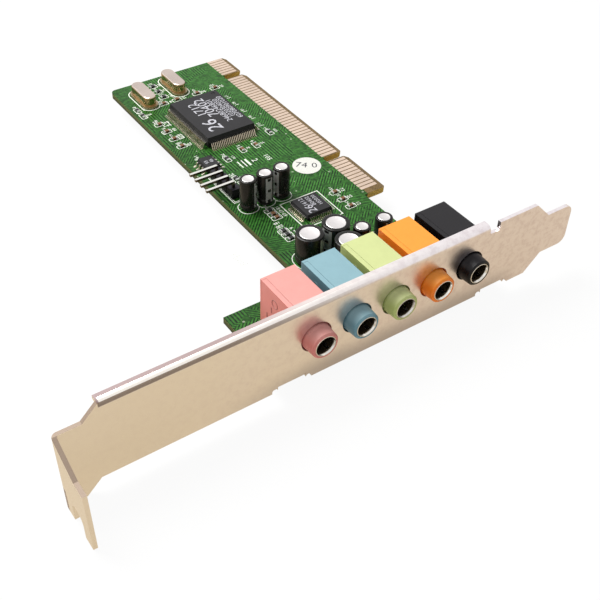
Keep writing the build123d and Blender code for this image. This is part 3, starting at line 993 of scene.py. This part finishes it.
@dataclass
class JackRow:
    """Five audio jacks: housings, covers and metal sleeves with windows for the springs."""

    sides: int = 48
    bore: float = 2.0
    rim: float = 0.15
    edge: float = 0.04
    step: float = 0.08
    funnel: float = 0.4
    slack: float = 0.02
    window_depth: float = 0.22
    window_front: float = 0.75
    window_length: float = 4.6
    windows: tuple[Span, ...] = ((-66.0, -44.0), (-22.0, -7.0), (150.0, 188.0))
    ring: Span = (3.7, 1.75)
    ring_radius: float = 0.95
    ring_line: float = 0.09
    bars: tuple[Span, ...] = ((1.4, 2.9), (-1.1, 4.5))
    bar_size: Triple = (0.12, 0.28, 1.5)
    bar_edge: float = 0.04
    # painted shade: how much darker the raised marks are than their housing
    mark_shade: float = 0.6
    tin: Colour = (0.86, 0.84, 0.80)
    # painted shade: the dark colour for the inside of the bore
    dull: Colour = (0.17, 0.13, 0.08)

    def sleeve(self, box: Box) -> Piece:
        """Models one sleeve as a ring profile drawn out and closed on itself.

        Args:
            box: the sleeve's room; its axis runs along Y.

        Returns:
            The object, with its bore on the second material.
        """
        outer = box.size.x / 2
        inner = outer - self.rim
        rings = (
            (outer, 0.0),
            (outer - self.edge, -self.edge),
            (inner, -self.edge),
            (inner - self.step, self.funnel / 2),
            (self.bore, self.funnel),
            (self.bore, self.window_front),
            (self.bore, self.window_front + self.window_length),
            (self.bore, box.size.y),
            (outer, box.size.y),
            (outer, 0.0),
        )
        Bench.clear()
        bpy.ops.mesh.primitive_circle_add(
            vertices=self.sides, radius=outer * MM, fill_type="NOTHING")
        piece = bpy.context.object
        bpy.ops.object.mode_set(mode="EDIT")
        bpy.ops.mesh.select_mode(type="VERT")
        bpy.ops.mesh.select_all(action="SELECT")
        Bench.draw_out(rings)
        bpy.ops.mesh.select_all(action="SELECT")
        bpy.ops.mesh.remove_doubles(threshold=0.01 * MM)
        Bench.close()
        front = Vector((box.centre.x, box.low.y + self.edge, box.centre.z))
        piece.data.transform(Matrix.Rotation(math.radians(-90), 4, "X"))
        piece.data.transform(Matrix.Translation(front * MM))
        piece.data.materials.append(None)
        piece.data.materials.append(None)
        for face in piece.data.polygons:
            spot = face.center / MM - box.centre
            if math.hypot(spot.x, spot.z) < self.bore + self.slack:
                face.material_index = 1
        for low, high in self.windows:
            self.open_window(piece, box, low, high)
        bpy.ops.object.shade_smooth_by_angle(angle=SMOOTH_ANGLE)
        return piece

    def open_window(self, piece: Piece, box: Box, low: float, high: float) -> None:
        """Sinks one window into the sleeve's bore.

        Args:
            piece: the sleeve.
            box: its room.
            low: where the window starts round the axis, in degrees from +X.
            high: where it ends.
        """
        Bench.activate(piece)
        bpy.ops.object.mode_set(mode="EDIT")
        bpy.ops.mesh.select_mode(type="FACE")
        bpy.ops.mesh.select_all(action="DESELECT")
        bpy.ops.object.mode_set(mode="OBJECT")
        front = self.window_front - box.size.y / 2
        back = front + self.window_length
        for face in piece.data.polygons:
            spot = face.center / MM - box.centre
            angle = math.degrees(math.atan2(spot.z, spot.x))
            in_bore = math.hypot(spot.x, spot.z) < self.bore + self.slack
            if in_bore and front < spot.y < back and low < angle < high:
                face.select = True
                face.material_index = 0
        bpy.ops.object.mode_set(mode="EDIT")
        turn = math.radians((low + high) / 2)
        Bench.extrude(Vector((math.cos(turn), 0, math.sin(turn))) * self.window_depth)
        bpy.ops.object.mode_set(mode="OBJECT")

    def marks(self, box: Box) -> Piece:
        """Models the raised ring and two bars on a housing's side cover.

        Args:
            box: the cover's room; its outer face looks towards -X.

        Returns:
            The object.
        """
        Bench.clear()
        rise, along = self.ring
        place = Vector((box.low.x, box.centre.y + along, box.centre.z + rise))
        bpy.ops.mesh.primitive_torus_add(
            major_segments=28, minor_segments=6,
            major_radius=self.ring_radius * MM, minor_radius=self.ring_line * MM)
        ring = bpy.context.object
        ring.data.transform(Matrix.Rotation(math.radians(90), 4, "Y"))
        ring.data.transform(Matrix.Translation(place * MM))
        pieces = [ring]
        for rise, along in self.bars:
            place = (box.low.x, box.centre.y + along, box.centre.z + rise)
            pieces.append(Bench.block(place, self.bar_size, self.bar_edge))
        return Bench.join(pieces)

    def build(self) -> None:
        """Dresses and completes the jacks."""
        tin = dress(PlatedMetal("jack_tin", self.tin, 0.22, stain=0.2), "jack_terminals")
        # painted shade inside the bore
        dull = PlatedMetal("jack_bore", self.dull, 0.4, stain=0.3).material()
        boxes = islands("jack_sleeves")
        sleeves = Bench.spread(self.sleeve(boxes[0]), [box.centre for box in boxes])
        for number, sleeve in enumerate(sleeves):
            Bench.hand_over(sleeve, f"jack_sleeve_{number}", "plated_metal", tin, dull)
            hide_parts("jack_sleeves")
        covers = [node_box("jack_cover_" + colour.name.lower()) for colour in JackColour]
        raised = Bench.spread(self.marks(covers[0]), [cover.centre for cover in covers])
        for colour, marks in zip(JackColour, raised):
            word = colour.name.lower()
            plastic = MouldedPlastic("moulded_" + word, colour.value)
            dress(plastic, "jack_housing_" + word, "jack_cover_" + word)
            # painted shade: the marks use a darker copy of their housing's plastic
            shaded_marks = MouldedPlastic("marks_" + word, scaled(colour.value, self.mark_shade)).material()
            Bench.hand_over(marks, "jack_marks_" + word, "jack_" + word, shaded_marks)


@dataclass
class Capacitors:
    """Round electrolytic capacitors, modelled over the plain solids."""

    sides: int = 40
    lip: float = 0.72
    gap: float = 0.03
    shoulder: float = 0.35
    crimp_height: float = 1.1
    crimp_half: float = 0.35
    crimp_depth: float = 0.16
    film: float = 0.12
    turns: tuple[float, ...] = (-0.9, -1.6, -2.9)
    bare: Colour = (0.72, 0.69, 0.69)
    rubber: Colour = (0.03, 0.03, 0.03)

    def sleeve(self, box: Box) -> Piece:
        """Models one sleeve with its crimp and rolled lip.

        Args:
            box: the room it fills.

        Returns:
            The object.
        """
        radius = box.size.x / 2
        top = box.size.z
        inner = radius * self.lip
        rings = (
            (radius - 0.35, 0.0),
            (radius - 0.06, 0.08),
            (radius, 0.3),
            (radius, self.crimp_height - self.crimp_half),
            (radius - self.crimp_depth, self.crimp_height),
            (radius, self.crimp_height + self.crimp_half),
            (radius, top - self.shoulder),
            (radius - 0.1, top - 0.1),
            (radius - self.shoulder, top),
            (inner, top),
            (inner - self.gap, top - self.film),
        )
        return Bench.turned((box.centre.x, box.centre.y, box.low.z), rings, self.sides)

    def top(self, box: Box) -> Piece:
        """Models the bare aluminium top inside the lip.

        Args:
            box: the sleeve's room.

        Returns:
            The object.
        """
        radius = box.size.x / 2 * self.lip - self.gap
        rings = ((radius, -0.3), (radius, 0.0), (radius - 0.12, 0.06), (radius - 0.3, 0.02))
        centre = (box.centre.x, box.centre.y, box.high.z - self.film)
        return Bench.turned(centre, rings, self.sides)

    def build(self) -> None:
        """Models all the capacitors."""
        bare = PlatedMetal("drawn_aluminium", self.bare, 0.36, stain=0.06).material()
        dress(FlatInk("bung_rubber", self.rubber), "capacitor_bungs")
        for word in CAPACITORS:
            cans = word + "_capacitor_cans"
            sleeves = word + "_capacitor_sleeves"
            boxes = islands(sleeves)
            film_model, top_model = self.sleeve(boxes[0]), self.top(boxes[0])
            for number, shift in enumerate(shifts([box.centre for box in boxes])):
                box = boxes[number]
                base = (box.centre.x, box.centre.y, box.low.z)
                turn = self.turns[number % len(self.turns)]
                name = f"{word}_film_{number}"
                film = ShrinkSleeve(name, base, box.size.x / 2, box.size.z, turn).material()
                sleeve, top = Bench.copy(film_model, shift), Bench.copy(top_model, shift)
                Bench.hand_over(sleeve, f"{word}_capacitor_{number}", "shrink_sleeve", film)
                Bench.hand_over(top, f"{word}_capacitor_top_{number}", "can_metal", bare)
                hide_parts(sleeves)
                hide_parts(cans)
            bpy.data.objects.remove(film_model)
            bpy.data.objects.remove(top_model)


@dataclass
class Chips:
    """The three chips, with pads under their leads and generic marks."""

    pad_length: float = 1.0
    pad_thick: float = 0.04
    pad_margin: float = 0.01
    pad_reach: float = 0.3
    pad_sunk: float = 0.005
    pad_edge: float = 0.01
    mark_thick: float = 0.008
    lead_tin: Colour = (0.80, 0.76, 0.68)
    # painted shade on the leads' upright faces
    lead_side: Colour = (0.66, 0.58, 0.44)
    pad_tin: Colour = (0.42, 0.38, 0.28)
    laser: Colour = (0.50, 0.50, 0.55)
    marks: dict[str, tuple[tuple[str, float, float, float], ...]] = field(default_factory=lambda: {
        "main_chip": (
            ("26", -0.25, -0.18, 0.28),
            ("1712", 0.17, -0.16, 0.17),
            ("70402", 0.16, 0.02, 0.19),
            ("24680246801", 0.02, 0.17, 0.11),
            ("1020304050", 0.04, 0.29, 0.10),
            ("607080901020", 0.02, 0.40, 0.10),
        ),
        "codec_chip": (
            ("26", -0.22, -0.16, 0.30),
            ("1612", 0.20, -0.18, 0.16),
            ("80402", 0.14, 0.06, 0.15),
            ("102030", 0.08, 0.28, 0.14),
        ),
        "memory_chip": (("93", 0.0, -0.15, 0.25), ("46", 0.0, 0.2, 0.25)),
    })

    def pad_centre(self, body: Box, lead: Box, axis: int) -> Vector:
        """Finds the middle of the pad under a lead.

        Args:
            body: the chip's body.
            lead: the lead.
            axis: the axis that the lead points along, 0 for X and 1 for Y.

        Returns:
            The place, in millimetres.
        """
        away = 1 if lead.centre[axis] > body.centre[axis] else -1
        tip = lead.high[axis] if away > 0 else lead.low[axis]
        centre = lead.centre.copy()
        centre[axis] = tip + away * (self.pad_reach - self.pad_length / 2)
        centre.z = lead.low.z - self.pad_sunk + self.pad_thick / 2
        return centre

    def pads(self, chip: str) -> list[Piece]:
        """Models one pad for the leads along X and one for those along Y, and copies them.

        Args:
            chip: the chip's name.

        Returns:
            The pads.
        """
        body = node_box(chip + "_body")
        rows: dict[int, list[Box]] = {}
        for lead in islands(chip + "_leads"):
            axis = 1 if body.low.x < lead.centre.x < body.high.x else 0
            rows.setdefault(axis, []).append(lead)
        made: list[Piece] = []
        for axis, leads in rows.items():
            centres = [self.pad_centre(body, lead, axis) for lead in leads]
            size = Vector((leads[0].size.x, leads[0].size.y, self.pad_thick))
            size[axis] = self.pad_length
            size[1 - axis] += 2 * self.pad_margin
            made += Bench.spread(Bench.block(centres[0], size, self.pad_edge), centres)
        return made

    def build(self) -> None:
        """Dresses the chips and adds what is finer."""
        names = tuple(self.marks)
        dress(ChipEpoxy("chip_epoxy"), *(chip + "_body" for chip in names))
        tin = PlatedMetal("lead_tin", self.lead_tin, 0.24, stain=0.25, side=self.lead_side)
        leads = dress(tin, *(chip + "_leads" for chip in names))
        ink = FlatInk("laser_mark", self.laser).material()
        pads = PlatedMetal("pad_tin", self.pad_tin, 0.34, stain=0.3).material()
        for chip, figures in self.marks.items():
            metal = pads if chip == "main_chip" else leads
            Bench.hand_over(Bench.join(self.pads(chip)), chip + "_pads", "plated_metal", metal)
            body = node_box(chip + "_body")
            rows = []
            for text, along, across, tall in figures:
                x = body.centre.x + across * body.size.x
                y = body.centre.y + along * body.size.y
                height = tall * body.size.x
                rows.append(Bench.figures(text, (x, y, body.high.z), height, self.mark_thick, 90))
            Bench.hand_over(Bench.join(rows), chip + "_marks", "sticker_paper", ink)


@dataclass
class Press:
    """Prints ink on one level face and keeps the printed pieces."""

    face: float
    thick: float
    edge: float = 0.004
    pieces: list[Piece] = field(default_factory=list)

    def figures(self, text: str, x: float, y: float, height: float, turn: float = -90) -> None:
        """Prints plain figures."""
        self.pieces.append(Bench.figures(text, (x, y, self.face), height, self.thick, turn))

    def bars(self, places: Sequence[Span], width: float, length: float) -> None:
        """Prints equal filled bars.

        Args:
            places: each bar's middle.
            width: their length on X.
            length: their length on Y.
        """
        centres = [(x, y, self.face + self.thick / 2) for x, y in places]
        bar = Bench.block(centres[0], (width, length, self.thick), self.edge)
        self.pieces += Bench.spread(bar, centres)

    def outlines(
        self, places: Sequence[Span], size: Span, line: float, corner: float = 0.0
    ) -> None:
        """Prints equal outlines.

        Args:
            places: each outline's middle.
            size: their outer length on X and Y.
            line: the line's width.
            corner: the corners' radius.
        """
        centres = [(x, y, self.face) for x, y in places]
        outline = Bench.outline(centres[0], size, line, corner, self.thick)
        self.pieces += Bench.spread(outline, centres)

    def around(
        self, boxes: Sequence[Box], margin: float, line: float, rounding: float = 0.0
    ) -> None:
        """Prints an outline round each of several equal parts.

        Args:
            boxes: the parts' boxes.
            margin: how much longer and wider the outline is than the part.
            line: the line's width.
            rounding: the outline's width over its corners' radius, or zero for sharp corners.
        """
        size = (boxes[0].size.x + margin, boxes[0].size.y + margin)
        corner = size[0] / rounding if rounding else 0.0
        self.outlines([box.centre.xy for box in boxes], size, line, corner)


@dataclass
class BoardPrint:
    """White printed outlines and plain figures on the component side."""

    line: float = 0.17
    thick: float = 0.02
    seed: int = 7
    ink: Colour = (0.80, 0.83, 0.76)
    part_size: Span = (1.6, 2.7)
    part_corner: float = 0.35
    square: Span = (1.9, 1.9)
    row_step: float = 1.3
    tick_step: float = 4.1
    list_step: float = 5.4
    small: float = 0.8
    beside: float = 2.1
    beyond: float = 1.7
    squares: tuple[Span, ...] = ((69.3, 91.8), (69.4, 84.5), (70.3, 37.4), (70.5, 58.9))
    numbers: tuple[tuple[str, float, float], ...] = (
        ("14", 68.4, 74.4), ("30", 88.0, 90.7), ("31", 87.5, 94.0), ("207", 67.2, 93.6),
        ("45", 66.9, 88.0), ("46", 67.4, 81.6), ("118", 78.2, 99.6), ("9", 60.6, 96.9),
        ("52", 66.6, 97.6))

    def parts(self, press: Press, chance: random.Random) -> None:
        """Prints an outline and two numbers at each chip part.

        Args:
            press: what prints.
            chance: the source of the plain numbers.
        """
        narrow, wide = self.part_size
        nodes = ("chip_capacitors", "chip_resistors")
        boxes = [box for node in nodes for box in islands(node)]
        upright = [box.centre.xy for box in boxes if box.size.y > box.size.x]
        level = [box.centre.xy for box in boxes if box.size.y <= box.size.x]
        press.outlines(upright, (narrow, wide), self.line, self.part_corner)
        press.outlines(level, (wide, narrow), self.line, self.part_corner)
        for node in nodes:
            for number, box in enumerate(islands(node)):
                x, y = box.centre.xy
                stands = box.size.y > box.size.x
                spot = (x, y + self.beside) if stands else (x + self.beside, y)
                text = str(chance.randint(1, 99))
                press.figures(text, *spot, 0.95, -90 if number % 3 else 0)
                spot = (x + self.beyond, y) if stands else (x, y + self.beyond)
                text = str(chance.randint(10, 999))
                press.figures(text, *spot, 0.75, -90 if number % 2 else 0)

    def legends(self, press: Press, chance: random.Random) -> None:
        """Prints the legends between the parts.

        Args:
            press: what prints.
            chance: the source of the plain numbers.
        """
        main, memory = node_box("main_chip_body"), node_box("memory_chip_body")
        codec = node_box("codec_chip_body")
        header = node_box("header_block")
        board = node_box("circuit_board")
        for row in range(4):
            text = str(chance.randint(100, 999))
            rise = self.row_step * row
            press.figures(text, codec.low.x - 6.2, codec.low.y - 0.6 + rise, self.small, 0)
            press.figures(text, board.high.x - 45.9, 33.0 + rise, self.small, 0)
        rises = [self.tick_step * step for step in range(5)]
        press.bars([(main.high.x + 3.2, main.low.y + 2.0 + rise) for rise in rises], 1.3, 0.16)
        for rise in rises:
            text = str(chance.randint(10, 99))
            press.figures(text, main.high.x + 2.9, main.low.y + 3.1 + rise, self.small)
        for step in range(3):
            text = str(chance.randint(10, 99))
            rise = self.list_step * step
            press.figures(text, main.low.x - 2.9, main.low.y + 4.0 + rise, self.small, 0)
        for shift, width in ((0.0, 0.3), (1.1, 0.3), (2.2, 0.54)):
            press.bars([(memory.high.x + 5.0 + shift, memory.low.y - 0.8)], width, 3.0)
        press.figures("2", memory.high.x + 9.0, memory.low.y - 1.0, 1.6)
        press.figures("105", memory.high.x + 12.4, memory.low.y - 1.6, 1.3)
        press.figures("8", memory.low.x + 1.0, memory.high.y + 2.0, 1.1)
        press.figures("16", header.high.x + 2.2, header.high.y - 2.2, 1.1)
        press.outlines(self.squares, self.square, self.line)
        for text, x, y in self.numbers:
            press.figures(text, x, y, 0.9)

    def build(self) -> None:
        """Prints the board."""
        press = Press(node_box("circuit_board").high.z, self.thick)
        chance = random.Random(self.seed)
        press.around([node_box("codec_chip_leads")], 1.8, 0.26)
        press.around(islands("crystal_bases"), 1.0, 0.24, 2.2)
        header = node_box("header_block")
        for grow in (0.9, 1.7):
            size = (header.size.x + grow, header.size.y + grow + 1.6)
            press.outlines([(header.centre.x + 0.4, header.centre.y)], size, 0.2)
        self.parts(press, chance)
        self.legends(press, chance)
        for word in CAPACITORS:
            press.around(islands(word + "_capacitor_sleeves"), 0.9, 0.18, 2.3)
        ink = FlatInk("board_ink", self.ink).material()
        Bench.hand_over(Bench.join(press.pieces), "board_print", "board", ink)


@dataclass
class CircuitBoard:
    """The board with its contacts, joints and smallest parts."""

    tongue_inset: float = 0.45
    tongue_lead: float = 2.2
    paper: Colour = (0.72, 0.72, 0.68)
    pen: Colour = (0.06, 0.06, 0.07)
    pen_marks: tuple[tuple[str, float, float, float], ...] = (
        ("74", -1.0, 0.9, -40), ("0", 1.6, -1.0, -28))

    def finishes(self) -> tuple[tuple[Finish, tuple[str, ...]], ...]:
        """Pairs each finish with the nodes that it dresses."""
        contacts = node_box("contacts_component_side")
        x, y = contacts.low.x + self.tongue_inset, contacts.low.y - self.tongue_lead
        # painted shade on the upright faces of the crystal cans and header pins
        streak, case_side_shade, pin_side_shade = (0.1, 1, 1), (0.48, 0.34, 0.17), (0.16, 0.13, 0.09)
        return (
            (PrintedBoard("printed_board", x, y), ("circuit_board",)),
            (PlatedMetal("contact_gold", (0.84, 0.66, 0.53), 0.3, streak, grain=0.2, stain=0.2),
             ("contacts_component_side", "contacts_solder_side")),
            (PlatedMetal("solder", (0.74, 0.74, 0.73), 0.3, stain=0.3),
             ("solder_joints", "chip_end_caps", "capacitor_leads", "crystal_leads")),
            (MouldedPlastic("capacitor_ceramic", (0.17, 0.085, 0.04), 0.5), ("chip_capacitors",)),
            (MouldedPlastic("resistor_glaze", (0.03, 0.03, 0.03), 0.25), ("chip_resistors",)),
            (FlatInk("label_paper", self.paper), ("inspection_sticker",)),
            (PlatedMetal("crystal_case", (0.70, 0.59, 0.53), 0.2, stain=0.15, side=case_side_shade),
             ("crystal_cans",)),
            (PlatedMetal("crystal_base", (0.40, 0.31, 0.19), 0.3, stain=0.3), ("crystal_bases",)),
            (MouldedPlastic("header_plastic", (0.012, 0.010, 0.016), 0.5), ("header_block",)),
            (PlatedMetal("pin_plate", (0.95, 0.93, 0.88), 0.2, stain=0.15, side=pin_side_shade),
             ("header_pins",)),
        )

    def build(self) -> None:
        """Dresses the board's nodes and writes on the sticker."""
        for finish, nodes in self.finishes():
            dress(finish, *nodes)
        label = node_box("inspection_sticker")
        marks = []
        for text, across, along, turn in self.pen_marks:
            place = (label.centre.x + across, label.centre.y + along, label.high.z)
            marks.append(Bench.figures(text, place, 2.1, 0.006, turn))
        pen = FlatInk("pen", self.pen).material()
        Bench.hand_over(Bench.join(marks), "sticker_figures", "sticker_paper", pen)


# Studio


@dataclass
class Studio:
    """Floor, light and camera."""

    position: Triple = (-24.54, -103.35, 136.44)
    azimuth: float = -35.26
    elevation: float = 42.23
    roll: float = 1.571
    focal: float = 57.31
    film: float = 36.0
    ambient: float = 0.30
    sheen: float = 0.95
    key_power: float = 2.7
    fill_power: float = 0.2
    lamp_size: float = 300.0
    middle: Triple = (65, 45, 5)
    floor_half: float = 900.0
    floor_centre: Span = (60, 40)
    floor_gap: float = 0.02
    floor_tint: Colour = (0.93, 0.93, 0.93)
    glow_share: float = 0.93
    white: Colour = (1.0, 1.0, 1.0)
    warm: Colour = (0.76, 0.625, 0.44)

    def camera(self) -> None:
        """Adds the camera at the photograph's angle."""
        a, e, r = (math.radians(v) for v in (self.azimuth, self.elevation, self.roll))
        back = Vector((math.sin(a) * math.cos(e), -math.cos(a) * math.cos(e), math.sin(e)))
        level = Vector((math.cos(a), math.sin(a), 0.0))
        upright = back.cross(level)
        right = level * math.cos(r) + upright * math.sin(r)
        up = back.cross(right)
        lens = bpy.data.cameras.new("camera")
        lens.sensor_width = self.film
        lens.lens = self.focal
        lens.clip_start = 0.001
        camera = bpy.data.objects.new("camera", lens)
        turn = Matrix((right, up, back)).transposed().to_4x4()
        camera.matrix_world = Matrix.Translation(Vector(self.position) * MM) @ turn
        bpy.context.scene.collection.objects.link(camera)
        bpy.context.scene.camera = camera

    def lamp(self, name: str, place: Triple, power: float, tint: Colour) -> None:
        """Adds one soft lamp that faces the card.

        Args:
            name: the lamp's name.
            place: where it stands, in millimetres.
            power: its power in watts.
            tint: its colour.
        """
        light = bpy.data.lights.new(name, "AREA")
        light.shape = "DISK"
        light.size = self.lamp_size * MM
        light.energy = power
        light.color = tint
        lamp = bpy.data.objects.new(name, light)
        away = (Vector(place) - Vector(self.middle)).normalized()
        turn = away.to_track_quat("Z", "Y").to_matrix().to_4x4()
        lamp.matrix_world = Matrix.Translation(Vector(place) * MM) @ turn
        bpy.context.scene.collection.objects.link(lamp)

    def sky(self) -> None:
        """Lights everything evenly, mirrors more than it lights, and is white to the camera."""
        world = bpy.data.worlds.new("studio")
        bpy.context.scene.world = world
        world.use_nodes = True
        tree = world.node_tree
        tree.nodes.clear()
        output = tree.nodes.new("ShaderNodeOutputWorld")
        back = tree.nodes.new("ShaderNodeBackground")
        path = tree.nodes.new("ShaderNodeLightPath")
        strength: Socket | float = self.ambient
        for ray, level in (("Is Camera Ray", 1.0), ("Is Glossy Ray", self.sheen)):
            step = tree.nodes.new("ShaderNodeMath")
            step.operation = "MULTIPLY_ADD"
            tree.links.new(path.outputs[ray], step.inputs[0])
            step.inputs[1].default_value = level - self.ambient
            if isinstance(strength, Socket):
                tree.links.new(strength, step.inputs[2])
            else:
                step.inputs[2].default_value = strength
            strength = step.outputs[0]
        tree.links.new(strength, back.inputs["Strength"])
        tree.links.new(back.outputs[0], output.inputs["Surface"])
        back.inputs["Color"].default_value = (*self.white, 1.0)

    def floor(self) -> None:
        """Lays a white floor that keeps a faint shadow and mirrors warm."""
        Bench.clear()
        bpy.ops.mesh.primitive_plane_add(size=1)
        floor = bpy.context.object
        floor.name = "floor"
        lowest = CAD_BOUNDS[0][2] / MM
        width = 2 * self.floor_half
        Bench.settle(floor, (*self.floor_centre, lowest - self.floor_gap), (width, width, 1))
        painter = Painter("white_sweep", Base_Color=self.floor_tint, Roughness=0.8)
        path = painter.node("ShaderNodeLightPath", {}, {})
        glossy = Signal(painter, path.outputs["Is Glossy Ray"])
        seen = Signal(painter, path.outputs["Is Camera Ray"]).largest(glossy)
        tint = painter.blend(glossy, self.white, self.warm)
        glow = painter.node("ShaderNodeEmission", {}, {"Color": tint, "Strength": 1.0})
        inputs = {0: seen * self.glow_share, 1: painter.shader.outputs[0], 2: glow.outputs[0]}
        mix = painter.node("ShaderNodeMixShader", {}, inputs)
        painter.tree.links.new(mix.outputs[0], painter.output.inputs["Surface"])
        floor.data.materials.append(painter.material)

    def build(self) -> None:
        """Sets up the studio."""
        self.camera()
        self.sky()
        self.floor()
        self.lamp("key", (-30, 240, 370), self.key_power, (1.0, 0.99, 0.97))
        self.lamp("fill", (-260, -260, 160), self.fill_power, (1.0, 0.96, 0.92))
        bpy.context.scene.view_settings.view_transform = "Standard"


def main() -> None:
    """Builds the card's looks in order."""
    logging.basicConfig(level=logging.INFO, format="%(message)s")
    for part in (CircuitBoard, SlotBracket, JackRow, Capacitors, Chips, BoardPrint, Studio):
        LOG.info("building %s", part.__name__)
        part().build()
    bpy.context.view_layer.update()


if __name__ == "__main__":
    main()
